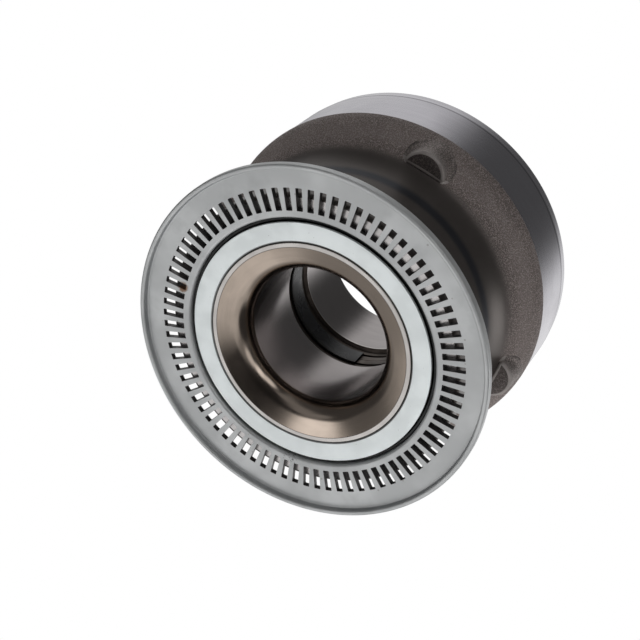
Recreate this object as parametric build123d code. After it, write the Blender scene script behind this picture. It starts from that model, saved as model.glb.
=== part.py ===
from build123d import *
import math
import os

# Wheel hub bearing unit: two rows of tapered rollers back to back in one forged outer ring,
# two inner rings held together by a split clip, a seal at each end and a toothed speed ring.
# Millimetres. The Z axis is the bearing's axis: z = 0 is the outboard end face, +Z is inboard.
# +X points at one of the four forged lugs.

# Overall sizes
bore_radius = 30.0
ring_length = 101.0
seat_radius = 75.0
seat_length = 33.3
shoulder_step = 0.4

# Rollers
roller_count = 18
roller_mean_radius = 6.5
roller_tilt = 13.5
roller_chamfer = 0.5
roller_dimple_radius = 2.6
roller_dimple_depth = 0.5
pitch_offset = 14.0
row_offset = 6.0
row_end_room = 2.5
roller_clearance = 0.15
end_clearance = 0.2
inboard_row_angle = 4.0
outboard_row_angle = 13.0

# Inner rings
outboard_face_z = 10.1
rib_height = 4.2
small_rib_height = 1.8
undercut_width = 1.0
undercut_depth = 0.35
face_land = 2.0
face_setback = 0.5
mouth_length = 11.0
mouth_round = 9.5
outboard_bore_chamfer = 3.0
corner_chamfer = 0.4

# Raceways and seal bores in the outer ring
race_overrun = 2.0
race_runout_length = 2.2
race_runout_drop = 1.0
centre_relief_width = 5.2
centre_relief_depth = 0.5
seal_bore_step = 1.9
inboard_seal_bore_depth = 20.0
outboard_seal_bore_depth = 21.2
bore_lead_in = 0.6
outboard_lead_in = 1.5

# Outside of the outer ring
lead_in_length = 5.3
lead_in_drop = 0.5
end_chamfer = 0.8
forged_lip_height = 0.8
shoulder_draft = 5.0
shoulder_round = 14.3
flare_angle = 40.0
flare_fillet = 30.0
straight_flare_share = 0.1
neck_wall = 3.9
neck_collar_rise = 2.9
neck_collar_length = 14.0
neck_collar_fillet = 18.0
neck_collar_round = 6.0
neck_end_round = 1.9

# Lugs
lug_count = 4
lug_radius = 9.4
lug_setback = 10.4
lug_flat_offset = 0.6
lug_height = 18.0
lug_depth = 14.8
lug_draft = 2.0
lug_edge_round = 1.0

# Speed ring
sheet = 2.5
tooth_count = 80
slot_width = 2.7
slot_length = 9.4
slot_root = 0.6
slot_angle = 0.0
rim_radius = 77.0
lip_height = 2.5
lip_thickness = 2.1
lip_round = 0.7
rim_bend = 2.0
collar_bend = 1.2
collar_length = 7.0

# Cages
cage_sheet = 1.6
cage_offset = 2.6
cage_rim = 2.0
cage_pocket_clearance = 0.3
cage_flange_depth = 5.1

# Clip that holds the inner rings together
clip_width = 9.8
clip_inner_drop = 0.5
clip_thickness = 0.85
clip_gap_angle = 30.0
clip_gap_centre = -52.4
clip_hook_width = 1.4
clip_hook_height = 1.25
clip_hook_chamfer = 0.5
clip_clearance = 0.15
clip_recess_width = 18.2
clip_recess_chamfer = 0.8

# Seals
seal_sheet = 1.2
flinger_length = 11.4
flinger_corner = 1.1
case_clearance = 0.2
case_edge_gap = 3.4
case_skirt_inboard = 8.0
case_skirt_outboard = 7.7
rubber_base = 1.1
rubber_rim_width = 1.2
rubber_rim_clearance = 0.2
lip_wall = 1.2
lip_gap = 0.3
face_lip_offset = 1.8
face_lip_lean = 0.7
shaft_lip_root = 0.25
shaft_lip_reach = 3.9
shaft_lip_tip = 0.7

# Sizes that follow from those above
tilt = math.radians(roller_tilt)
pitch_radius = bore_radius + pitch_offset
roller_taper = math.atan(roller_mean_radius * math.sin(tilt) / pitch_radius)
row_span = 0.5 * (ring_length - inboard_seal_bore_depth - outboard_seal_bore_depth)
mid_z = outboard_seal_bore_depth + row_span
roller_length = (row_span - row_offset - row_end_room) / math.cos(tilt)
inboard_face_z = ring_length + sheet - face_setback
shoulder_radius = seat_radius + shoulder_step


class Row:
    """One row of rollers. side is 1 for the inboard row and -1 for the outboard row."""

    def __init__(self, side, first_angle):
        self.side = side
        self.first_angle = first_angle
        self.centre_z = mid_z + side * (row_offset + 0.5 * roller_length * math.cos(tilt))

    def point(self, along, across):
        """Radius and z of a point along the roller's axis and across it, away from the bore."""
        radius = pitch_radius + along * math.sin(tilt) + across * math.cos(tilt)
        height = along * math.cos(tilt) - across * math.sin(tilt)
        return radius, self.centre_z + self.side * height

    def roller_radius(self, along, extra=0.0):
        """Radius of the roller's cone at a place along its axis."""
        return roller_mean_radius + along * math.tan(roller_taper) + extra

    def race_point(self, along, clearance, outer):
        """A point on the inner or outer raceway, clear of the roller."""
        across = self.roller_radius(along) + clearance
        return self.point(along, across if outer else -across)

    def angles(self):
        """The angle of each roller about the bearing's axis."""
        return [self.first_angle + 360.0 * index / roller_count for index in range(roller_count)]

    def heading(self, along):
        """A plane across the roller's axis, with its normal towards the large end."""
        radius, height = self.point(along, 0.0)
        return Plane(
            origin=(radius, 0, height),
            x_dir=(math.cos(tilt), 0, -self.side * math.sin(tilt)),
            z_dir=(math.sin(tilt), 0, self.side * math.cos(tilt)),
        )

    def cone(self, half_length, extra):
        """A truncated cone about the roller's axis, in the plane y = 0."""
        low = self.roller_radius(-half_length, extra)
        high = self.roller_radius(half_length, extra)
        return self.heading(0.0) * Cone(low, high, 2.0 * half_length)

    def race_end(self):
        """Where the outer raceway ends, past the rollers' large ends."""
        return self.race_point(0.5 * roller_length + race_overrun, roller_clearance, True)

    def foot(self):
        """Where the inner raceway meets the rib that guides the rollers' large ends."""
        return self.race_point(0.5 * roller_length + end_clearance, roller_clearance, False)

    def bore_end_z(self):
        """Where the seal bore ends, at the run-out of the outer raceway."""
        return self.race_end()[1] + self.side * race_runout_length


inboard_row = Row(1, inboard_row_angle)
outboard_row = Row(-1, outboard_row_angle)
rib_radius = inboard_row.foot()[0] + rib_height
face_edge_radius = rib_radius - face_land
seal_bore_radius = inboard_row.race_end()[0] + race_runout_drop + seal_bore_step
neck_radius = seal_bore_radius + neck_wall
neck_collar_radius = neck_radius + neck_collar_rise
collar_inner = seal_bore_radius - sheet
sleeve_radius = rib_radius + seal_sheet
case_inner_radius = sleeve_radius + case_edge_gap
rubber_rim_radius = collar_inner - rubber_rim_clearance
rubber_rim_inner = rubber_rim_radius - rubber_rim_width
flinger_radius = rubber_rim_inner - lip_gap


def line_at_radius(start, end, radius):
    """The point at a given radius on the line through two points of a section."""
    share = (radius - start[0]) / (end[0] - start[0])
    return radius, start[1] + share * (end[1] - start[1])


def line_at_height(start, end, height):
    """The point at a given z on the line through two points of a section."""
    share = (height - start[1]) / (end[1] - start[1])
    return start[0] + share * (end[0] - start[0]), height


def turned(points):
    """A solid of revolution about the Z axis from the corners of its section."""
    section = make_face(Polyline(*points, close=True))
    return revolve(Plane.XZ * section, axis=Axis.Z)


def turned_outline(edges):
    """A solid of revolution about the Z axis from a closed section with curves."""
    return revolve(Plane.XZ * make_face(edges), axis=Axis.Z)


def arc_point(centre, radius, angle):
    """A point on a circle of a section, with the angle in degrees from +radius towards +z."""
    turn = math.radians(angle)
    return centre[0] + radius * math.cos(turn), centre[1] + radius * math.sin(turn)


def forged_outside():
    """Outside of the outer ring from the outboard end to the inboard end, as edges."""
    flare = math.radians(flare_angle)
    draft = math.radians(shoulder_draft)
    step = shoulder_radius - neck_radius
    fillet_rise = flare_fillet * (1.0 - math.cos(flare))
    round_rise = shoulder_round * (math.cos(draft) - math.cos(flare))
    fit = min(1.0, (1.0 - straight_flare_share) * step / (fillet_rise + round_rise))
    fillet_radius = fit * flare_fillet
    round_radius = fit * shoulder_round
    run = (step - fit * (fillet_rise + round_rise)) / math.sin(flare)

    lip_top = (shoulder_radius, seat_length + forged_lip_height)
    round_centre = (
        lip_top[0] - round_radius * math.cos(draft),
        lip_top[1] - round_radius * math.sin(draft),
    )
    round_end = arc_point(round_centre, round_radius, flare_angle)
    flare_end = (round_end[0] - run * math.sin(flare), round_end[1] + run * math.cos(flare))
    fillet_centre = (
        flare_end[0] + fillet_radius * math.cos(flare),
        flare_end[1] + fillet_radius * math.sin(flare),
    )
    neck_start = (neck_radius, fillet_centre[1])

    collar_z = ring_length - neck_collar_length
    turn = math.acos(1.0 - neck_collar_rise / (neck_collar_fillet + neck_collar_round))
    collar_end = (neck_collar_radius, collar_z + neck_collar_round * math.sin(turn))
    collar_start = (neck_radius, collar_z - neck_collar_fillet * math.sin(turn))
    fillet_hub = (neck_radius + neck_collar_fillet, collar_start[1])
    round_hub = (neck_collar_radius - neck_collar_round, collar_end[1])
    turn_angle = math.degrees(turn)
    collar_bend_point = arc_point(fillet_hub, neck_collar_fillet, 180.0 - turn_angle)

    bottom = [
        (seat_radius - lead_in_drop - end_chamfer, 0.0),
        (seat_radius - lead_in_drop, end_chamfer),
        (seat_radius, lead_in_length),
        (seat_radius, seat_length),
        (shoulder_radius + forged_lip_height * math.tan(draft), seat_length),
        lip_top,
    ]
    edge_hub = (neck_collar_radius - neck_end_round, ring_length - neck_end_round)
    edge_start = (neck_collar_radius, edge_hub[1])
    edge_end = (edge_hub[0], ring_length)
    shoulder_middle = arc_point(round_centre, round_radius, 0.5 * (flare_angle + shoulder_draft))
    fillet_middle = arc_point(fillet_centre, fillet_radius, 180.0 + 0.5 * flare_angle)
    collar_fillet_middle = arc_point(fillet_hub, neck_collar_fillet, 180.0 - 0.5 * turn_angle)
    collar_round_middle = arc_point(round_hub, neck_collar_round, -0.5 * turn_angle)
    edges = Polyline(*bottom)
    edges += ThreePointArc(lip_top, shoulder_middle, round_end)
    edges += Line(round_end, flare_end)
    edges += ThreePointArc(flare_end, fillet_middle, neck_start)
    edges += Line(neck_start, collar_start)
    edges += ThreePointArc(collar_start, collar_fillet_middle, collar_bend_point)
    edges += ThreePointArc(collar_bend_point, collar_round_middle, collar_end)
    edges += Line(collar_end, edge_start)
    edges += ThreePointArc(edge_start, arc_point(edge_hub, neck_end_round, 45.0), edge_end)
    return edges, bottom[0], edge_end


def raceway_side(row):
    """Half of the outer ring's inside: centre relief, raceway and the step to the seal bore."""
    low = row.race_point(-0.5 * roller_length, roller_clearance, True)
    relief_z = mid_z + row.side * 0.5 * centre_relief_width
    relief = line_at_height(low, row.race_end(), relief_z)
    return [
        (relief[0] + centre_relief_depth, relief_z),
        relief,
        row.race_end(),
        (row.race_end()[0] + race_runout_drop, row.bore_end_z()),
        (seal_bore_radius, row.bore_end_z()),
    ]


def lug():
    """One half-round forged lug on +X: flat towards the axis, drafted, with a rounded face."""
    centre = shoulder_radius - lug_setback
    flat = centre + lug_flat_offset
    half_width = math.sqrt(lug_radius ** 2 - lug_flat_offset ** 2)
    outline = ThreePointArc((flat, -half_width), (centre + lug_radius, 0.0), (flat, half_width))
    outline += Line((flat, half_width), (flat, -half_width))
    face = Plane.XY.offset(seat_length + lug_height) * make_face(outline)
    body = extrude(face, amount=-lug_depth, taper=-lug_draft)
    front = body.faces().sort_by(Axis.Z)[-1]
    return fillet(front.edges(), lug_edge_round)


def outer_ring():
    """The forged outer ring: machined seat, shoulder, neck, raceways, seal bores and lugs."""
    outside, start, end = forged_outside()
    inside = [
        end,
        (seal_bore_radius + bore_lead_in, ring_length),
        (seal_bore_radius, ring_length - bore_lead_in),
        *reversed(raceway_side(inboard_row)),
        *raceway_side(outboard_row),
        (seal_bore_radius, outboard_lead_in),
        (seal_bore_radius + outboard_lead_in, 0.0),
        start,
    ]
    body = turned_outline(outside + Polyline(*inside))
    for index in range(lug_count):
        body += Rot(0, 0, 360.0 * index / lug_count) * lug()
    return body


def clip_seat(side):
    """Bore side of an inner ring at the joint, from the abutting face to the bore."""
    land = bore_radius + clip_inner_drop + clip_thickness + clip_clearance
    hook = land + clip_hook_height
    half_width = 0.5 * clip_width
    steps = [
        (land, 0.0),
        (land, half_width - clip_hook_width - clip_clearance),
        (hook, half_width - clip_hook_width - clip_clearance),
        (hook, half_width + clip_clearance),
        (land, half_width + clip_clearance),
        (land, 0.5 * clip_recess_width - clip_recess_chamfer),
        (bore_radius, 0.5 * clip_recess_width),
    ]
    return [(radius, mid_z + side * distance) for radius, distance in steps]


def inner_ring_outside(row, face_z):
    """Outside of an inner ring from its end face to the joint: seal seat, ribs and raceway."""
    side = row.side
    foot_along = 0.5 * roller_length + end_clearance
    rib_top = line_at_radius(row.foot(), row.point(foot_along, 0.0), rib_radius)
    undercut = roller_clearance + undercut_depth
    toe = row.race_point(-0.5 * roller_length - 2.0 * end_clearance, roller_clearance, False)
    small_rib = toe[0] + small_rib_height
    return [
        (rib_radius - corner_chamfer, face_z),
        (rib_radius, face_z - side * corner_chamfer),
        rib_top,
        row.race_point(foot_along, undercut, False),
        row.race_point(foot_along - undercut_width, undercut, False),
        row.race_point(foot_along - undercut_width, roller_clearance, False),
        toe,
        (small_rib, toe[1] - side * corner_chamfer),
        (small_rib, mid_z + side * corner_chamfer),
        (small_rib - corner_chamfer, mid_z),
    ]


def mouth(face_z):
    """The rounded mouth of the inboard inner ring, from the bore to the end face, as edges."""
    throat = (bore_radius, face_z - mouth_length)
    centre = (bore_radius + mouth_round, throat[1])
    spread = face_edge_radius - centre[0]
    lean = math.degrees(math.atan2(mouth_length, spread))
    reach = math.degrees(math.acos(mouth_round / math.hypot(spread, mouth_length)))
    turn = 180.0 - lean - reach
    arc_end = arc_point(centre, mouth_round, 180.0 - turn)
    middle = arc_point(centre, mouth_round, 180.0 - 0.5 * turn)
    edges = ThreePointArc(throat, middle, arc_end)
    edges += Line(arc_end, (face_edge_radius, face_z))
    return edges, throat


def inboard_inner_ring(row):
    """Inner ring with the flared mouth, which the spindle's shoulder meets."""
    flare, throat = mouth(inboard_face_z)
    bore = list(reversed(clip_seat(1)))
    outside = inner_ring_outside(row, inboard_face_z)
    edges = Polyline(throat, *bore, outside[-1])
    edges += Polyline(*reversed(outside))
    edges += Line(outside[0], (face_edge_radius, inboard_face_z))
    return turned_outline(edges + flare)


def outboard_inner_ring(row):
    """Inner ring at the nut end, with a plain chamfered bore."""
    outside = inner_ring_outside(row, outboard_face_z)
    bore = [
        (bore_radius + outboard_bore_chamfer, outboard_face_z),
        (bore_radius, outboard_face_z + outboard_bore_chamfer),
    ]
    return turned([*outside, *clip_seat(-1), *reversed(bore)])


def clip_ring():
    """Split ring in the bore groove: a flat band with a hook at each edge."""
    inner = bore_radius + clip_inner_drop
    outer = inner + clip_thickness
    half_width = 0.5 * clip_width
    hook = outer + clip_hook_height
    half = [
        (inner, half_width),
        (hook - clip_hook_chamfer, half_width),
        (hook, half_width - clip_hook_chamfer),
        (hook, half_width - clip_hook_width),
        (outer, half_width - clip_hook_width),
    ]
    upper = [(radius, mid_z + distance) for radius, distance in half]
    lower = [(radius, mid_z - distance) for radius, distance in reversed(half)]
    section = make_face(Polyline(*upper, *lower, close=True))
    band = revolve(Plane.XZ * section, axis=Axis.Z, revolution_arc=360.0 - clip_gap_angle)
    return Rot(0, 0, clip_gap_centre + 0.5 * clip_gap_angle) * band


def roller(row):
    """One tapered roller, with broken edges and a shallow dimple in its large end."""
    body = row.cone(0.5 * roller_length, 0.0)
    body = chamfer(body.edges().filter_by(GeomType.CIRCLE), roller_chamfer)
    dimple = Cylinder(roller_dimple_radius, 2.0 * roller_dimple_depth)
    return body - row.heading(0.5 * roller_length) * dimple


def cage(row):
    """Pressed cage: a conical shell with one pocket for each roller and an inward flange."""
    half = 0.5 * roller_length + cage_pocket_clearance
    small_end = -half - cage_rim
    large_end = half + cage_rim
    top = cage_offset + cage_sheet
    section = [
        row.point(large_end, cage_offset),
        row.point(large_end, top),
        row.point(small_end, top),
        row.point(small_end, cage_offset - cage_flange_depth),
        row.point(small_end + cage_sheet, cage_offset - cage_flange_depth),
        row.point(small_end + cage_sheet, cage_offset),
    ]
    shell = turned(section)
    pocket = row.cone(half, cage_pocket_clearance)
    pockets = [Rot(0, 0, angle) * pocket for angle in row.angles()]
    return shell - pockets


def speed_ring():
    """Pressed ring on the inboard shoulder: collar, slotted disc and raised lip."""
    back = ring_length
    front = back + sheet
    lip_inner = rim_radius - lip_thickness
    top = front + lip_height
    bend = 1.0 - math.sqrt(0.5)
    edges = Polyline(
        (seal_bore_radius, back),
        (seal_bore_radius, back - collar_length),
        (collar_inner, back - collar_length),
        (collar_inner, front - collar_bend),
    )
    edges += ThreePointArc(
        (collar_inner, front - collar_bend),
        (collar_inner + bend * collar_bend, front - bend * collar_bend),
        (collar_inner + collar_bend, front),
    )
    edges += Polyline(
        (collar_inner + collar_bend, front),
        (lip_inner - lip_round, front),
        (lip_inner, front + lip_round),
        (lip_inner, top - lip_round),
        (lip_inner + lip_round, top),
        (rim_radius - lip_round, top),
        (rim_radius, top - lip_round),
        (rim_radius, back + rim_bend),
    )
    edges += ThreePointArc(
        (rim_radius, back + rim_bend),
        (rim_radius - bend * rim_bend, back + bend * rim_bend),
        (rim_radius - rim_bend, back),
    )
    edges += Line((rim_radius - rim_bend, back), (seal_bore_radius, back))
    ring = turned_outline(edges)

    slot_middle = seal_bore_radius + slot_root + 0.5 * slot_length
    slot = Pos(slot_middle, 0, back + 0.5 * sheet) * Box(slot_length, slot_width, 2.0 * sheet)
    slots = [Rot(0, 0, slot_angle + 360.0 * index / tooth_count) * slot for index in range(tooth_count)]
    return ring - slots


class Seal:
    """One seal: a flinger on the inner ring, and a case with moulded rubber in the seal bore.

    Sections give radius and depth behind the inner ring's end face. The side is 1 inboard
    and -1 outboard. A skirt length above zero points inwards, and one below zero outwards.
    """

    def __init__(self, side, face_z, flange_z, skirt):
        self.side = side
        self.face_z = face_z
        self.front = side * (face_z - flange_z)
        self.back = self.front + seal_sheet
        self.skirt = skirt

    def turned(self, section):
        """A ring of this seal from its section."""
        return turned([(radius, self.face_z - self.side * depth) for radius, depth in section])

    def flinger(self):
        """Angle ring: a sleeve on the rib and a flange flush with the end face."""
        section = [
            (rib_radius, flinger_corner),
            (rib_radius + flinger_corner, 0.0),
            (flinger_radius, 0.0),
            (flinger_radius, seal_sheet),
            (sleeve_radius, seal_sheet),
            (sleeve_radius, flinger_length),
            (rib_radius, flinger_length),
        ]
        return self.turned(section)

    def case(self):
        """Pressed case: a skirt in the seal bore and a flange that carries the rubber."""
        skirt_inner = seal_bore_radius - seal_sheet
        flush, inner = (self.front, self.back) if self.skirt > 0.0 else (self.back, self.front)
        section = [
            (case_inner_radius, flush),
            (seal_bore_radius, flush),
            (seal_bore_radius, flush + self.skirt),
            (skirt_inner, flush + self.skirt),
            (skirt_inner, inner),
            (case_inner_radius, inner),
        ]
        return self.turned(section)

    def rubber(self):
        """Rim beside the flinger, face lip behind the flange and shaft lip on the sleeve."""
        base = self.front - rubber_base
        tip = seal_sheet + lip_gap
        face_lip = case_inner_radius + face_lip_offset
        shaft_lip = sleeve_radius + lip_gap
        shaft_tip = base - shaft_lip_reach
        section = [
            (case_inner_radius, self.front),
            (rubber_rim_radius, self.front),
            (rubber_rim_radius, tip),
            (rubber_rim_inner, tip),
            (rubber_rim_inner, base),
            (face_lip + lip_wall, base),
            (face_lip + lip_wall + face_lip_lean, tip),
            (face_lip + lip_wall, tip),
            (face_lip, base),
            (case_inner_radius - shaft_lip_root, base),
            (shaft_lip, shaft_tip),
            (shaft_lip, shaft_tip + shaft_lip_tip),
            (case_inner_radius - lip_wall, self.front),
            (case_inner_radius - lip_wall, self.back),
            (case_inner_radius, self.back),
        ]
        return self.turned(section)


def build():
    """Every piece of the bearing by its name."""
    collar_end = ring_length - collar_length
    outboard_flange = outboard_row.bore_end_z() - case_clearance - seal_sheet
    inboard_seal = Seal(1, inboard_face_z, collar_end - case_clearance, case_skirt_inboard)
    outboard_seal = Seal(-1, outboard_face_z, outboard_flange, -case_skirt_outboard)
    pieces = {
        "outer_ring": outer_ring(),
        "speed_ring": speed_ring(),
        "inner_ring_inboard": inboard_inner_ring(inboard_row),
        "inner_ring_outboard": outboard_inner_ring(outboard_row),
        "inner_ring_clip": clip_ring(),
        "cage_inboard": cage(inboard_row),
        "cage_outboard": cage(outboard_row),
    }
    for name, seal in (("inboard", inboard_seal), ("outboard", outboard_seal)):
        pieces[f"seal_flinger_{name}"] = seal.flinger()
        pieces[f"seal_case_{name}"] = seal.case()
        pieces[f"seal_lip_{name}"] = seal.rubber()
    for name, row in (("inboard", inboard_row), ("outboard", outboard_row)):
        one = roller(row)
        for index, angle in enumerate(row.angles(), start=1):
            pieces[f"roller_{name}_{index:02d}"] = Rot(0, 0, angle) * one
    return pieces


os.makedirs("parts", exist_ok=True)
for node, piece in build().items():
    export_step(piece, f"parts/{node}.step")
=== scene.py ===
"""Looks of the wheel hub bearing: the pieces that show, their finishes and the studio.

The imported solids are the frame. Pieces that show are modelled again here with soft edges and
fine form, the rolling parts inside keep their solids, and every surface gets its own finish.
Sizes in the classes are millimetres, as on a drawing.
"""

import itertools
import logging
import math
from dataclasses import dataclass, field, replace
from enum import Enum
from typing import Callable, Mapping, Sequence

import bpy
from mathutils import Matrix, Vector

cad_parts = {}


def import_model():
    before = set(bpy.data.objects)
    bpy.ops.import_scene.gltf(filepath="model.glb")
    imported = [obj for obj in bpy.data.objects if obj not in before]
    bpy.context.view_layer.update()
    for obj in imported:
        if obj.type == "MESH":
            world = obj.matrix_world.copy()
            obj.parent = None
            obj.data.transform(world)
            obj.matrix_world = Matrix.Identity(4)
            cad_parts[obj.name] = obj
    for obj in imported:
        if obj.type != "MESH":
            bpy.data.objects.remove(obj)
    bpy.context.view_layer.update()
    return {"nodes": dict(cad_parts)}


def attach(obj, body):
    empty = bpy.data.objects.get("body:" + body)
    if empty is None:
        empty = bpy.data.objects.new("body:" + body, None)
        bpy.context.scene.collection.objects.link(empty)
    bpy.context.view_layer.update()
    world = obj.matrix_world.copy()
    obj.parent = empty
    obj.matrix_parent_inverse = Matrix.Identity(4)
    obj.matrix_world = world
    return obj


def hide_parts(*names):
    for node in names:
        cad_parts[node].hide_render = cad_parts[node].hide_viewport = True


MM = 0.001
MERGE = 0.005 * MM
FINE_MERGE = 0.002 * MM
SAME_POINT = 1e-4
Point = tuple[float, float]
Triple = tuple[float, float, float]
Piece = bpy.types.Object
Material = bpy.types.Material
Tree = bpy.types.NodeTree
Node = bpy.types.Node
Socket = bpy.types.NodeSocket
Sockets = Mapping[str, Socket]
log = logging.getLogger("bearing")


class Side(Enum):
    """The two ends of the bearing, with the sign of their outward direction on Z."""

    INBOARD = 1
    OUTBOARD = -1

    @property
    def label(self) -> str:
        """The side's name as the nodes spell it."""
        return self.name.lower()


class Body(Enum):
    """The CAD bodies that the new pieces ride on."""

    OUTER = "outer"
    INNER = "inner"


class Slot(Enum):
    """The record's material slot names. The seals list theirs, but no piece is given one."""

    FORGING = "forged_steel"
    SPEED_RING = "zinc_plate"
    INNER_RING = "phosphated_steel"
    CLIP = "clip_plastic"
    FLINGER = "flinger_zinc"
    RUBBER = "seal_rubber"


# Drawing and turning


@dataclass(frozen=True)
class Corner:
    """One corner of a section: its radius and height, and how far it is rounded."""

    radius: float
    height: float
    rounding: float = 0.0

    @property
    def place(self) -> Vector:
        """The corner as a flat vector."""
        return Vector((self.radius, self.height))


def rounded(corners: Sequence[Corner], sweep: float = 12.0) -> list[Point]:
    """Draws a closed section with its rounded corners as arcs.

    Args:
        corners: The section's corners in order.
        sweep: The largest turn in degrees between two points of an arc.

    Returns:
        The points of the outline, as radius and height.
    """
    outline: list[Vector] = []
    for index, corner in enumerate(corners):
        here = corner.place
        if corner.rounding <= 0.0:
            outline.append(here)
            continue
        back = (corners[index - 1].place - here).normalized()
        ahead = (corners[(index + 1) % len(corners)].place - here).normalized()
        half = 0.5 * back.angle(ahead)
        centre = here + (back + ahead).normalized() * (corner.rounding / math.sin(half))
        spoke = here + back * (corner.rounding / math.tan(half)) - centre
        bend = math.pi - 2.0 * half
        if back.x * ahead.y - back.y * ahead.x > 0.0:
            bend = -bend
        steps = max(2, math.ceil(abs(math.degrees(bend)) / sweep))
        for step in range(steps + 1):
            outline.append(centre + Matrix.Rotation(bend * step / steps, 2) @ spoke)
    pairs = zip([outline[-1], *outline], outline)
    return [(point.x, point.y) for before, point in pairs if (point - before).length > SAME_POINT]


def lifted(corners: Sequence[Corner], base: float, up: int) -> list[Corner]:
    """Sets corners that are given by their distance from a plane across the axis.

    Args:
        corners: The corners, with that distance as their height.
        base: Height of the plane.
        up: 1 if they go up from it, and -1 if they go down.

    Returns:
        The corners at their heights in the frame.
    """
    return [Corner(c.radius, base + up * c.height, c.rounding) for c in corners]


def clear_selection() -> None:
    """Leaves edit mode and deselects every object."""
    if bpy.context.object is not None and bpy.context.object.mode != "OBJECT":
        bpy.ops.object.mode_set(mode="OBJECT")
    bpy.ops.object.select_all(action="DESELECT")


def choose(piece: Piece) -> None:
    """Makes one object the only selected and active one.

    Args:
        piece: The object.
    """
    clear_selection()
    piece.select_set(True)
    bpy.context.view_layer.objects.active = piece


def turn(name: str, outline: Sequence[Point], steps: int = 288, sweep: float = 360.0) -> Piece:
    """Draws a section vertex by vertex and spins it about the bearing's axis.

    Args:
        name: The new piece's name.
        outline: Points of the closed section, as radius and height.
        steps: How many steps the spin takes.
        sweep: How far it turns, in degrees.

    Returns:
        The turned piece, closed and with its faces outwards.
    """
    clear_selection()
    bpy.ops.mesh.primitive_plane_add(size=MM, location=(0.0, 0.0, 0.0))
    piece = bpy.context.active_object
    piece.name = piece.data.name = name
    bpy.ops.object.mode_set(mode="EDIT")
    bpy.ops.mesh.select_mode(type="VERT")
    bpy.ops.mesh.merge(type="CENTER")
    bpy.ops.transform.translate(value=(outline[0][0] * MM, 0.0, outline[0][1] * MM))
    for before, after in zip(outline, [*outline[1:], outline[0]]):
        step = ((after[0] - before[0]) * MM, 0.0, (after[1] - before[1]) * MM)
        bpy.ops.mesh.extrude_region_move(TRANSFORM_OT_translate={"value": step})
    bpy.ops.mesh.select_all(action="SELECT")
    bpy.ops.mesh.remove_doubles(threshold=MERGE)
    bpy.ops.mesh.spin(
        steps=steps, angle=math.radians(sweep), center=(0.0, 0.0, 0.0), axis=(0.0, 0.0, 1.0),
    )
    bpy.ops.mesh.select_all(action="SELECT")
    bpy.ops.mesh.remove_doubles(threshold=MERGE)
    if sweep < 360.0:
        bpy.ops.mesh.fill_holes(sides=0)
        bpy.ops.mesh.select_all(action="SELECT")
    bpy.ops.mesh.normals_make_consistent(inside=False)
    bpy.ops.object.mode_set(mode="OBJECT")
    return piece


def smooth(piece: Piece, angle: float = 32.0) -> None:
    """Shades a piece smooth, apart from edges sharper than an angle in degrees."""
    choose(piece)
    bpy.ops.object.shade_smooth_by_angle(angle=math.radians(angle))


def apply_modifier(piece: Piece, kind: str, **settings: object) -> None:
    """Adds a modifier and applies it.

    Args:
        piece: The piece.
        kind: The modifier's type.
        settings: Its properties.
    """
    choose(piece)
    modifier = piece.modifiers.new(kind.title(), kind)
    for key, value in settings.items():
        setattr(modifier, key, value)
    bpy.ops.object.modifier_apply(modifier=modifier.name)


def join(piece: Piece, others: Sequence[Piece]) -> Piece:
    """Joins other objects into a piece.

    Args:
        piece: The piece.
        others: The objects that become part of it.

    Returns:
        The piece.
    """
    choose(piece)
    for other in others:
        other.select_set(True)
    bpy.ops.object.join()
    return piece


def round_copies(piece: Piece, count: int) -> Piece:
    """Repeats a piece evenly about the axis and joins the copies into one object.

    Args:
        piece: The piece to repeat. It becomes the joined object.
        count: How many there are in all.

    Returns:
        The joined object.
    """
    copies = []
    for index in range(1, count):
        copy = bpy.data.objects.new(piece.name, piece.data.copy())
        bpy.context.scene.collection.objects.link(copy)
        copy.data.transform(Matrix.Rotation(math.radians(360.0 * index / count), 4, "Z"))
        copies.append(copy)
    return join(piece, copies)


def paint(piece: Piece, material: Material, where: Callable[[Vector], bool] = lambda at: True) -> None:
    """Gives a finish to the faces whose middle passes a test.

    Args:
        piece: The piece.
        material: The finish.
        where: The test, with the middle in millimetres. A piece's first finish goes on every face.
    """
    index = len(piece.data.materials)
    piece.data.materials.append(material)
    for face in piece.data.polygons:
        if index == 0 or where(face.center / MM):
            face.material_index = index


def axis_distance(place: Vector) -> float:
    """How far a point lies from the bearing's axis."""
    return math.hypot(place.x, place.y)


def settle(piece: Piece, body: Body, node: str) -> None:
    """Hands a finished piece to the frame.

    Args:
        piece: The piece.
        body: The body that it rides on.
        node: The node that it stands for.
    """
    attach(piece, body.value)
    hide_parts(node)
    log.info("%s: %d faces, rides on %s", piece.name, len(piece.data.polygons), body.value)


# Node trees


def label(word: str) -> str:
    """A socket's label, from the Python word for it."""
    return word.replace("_", " ").capitalize()


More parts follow.
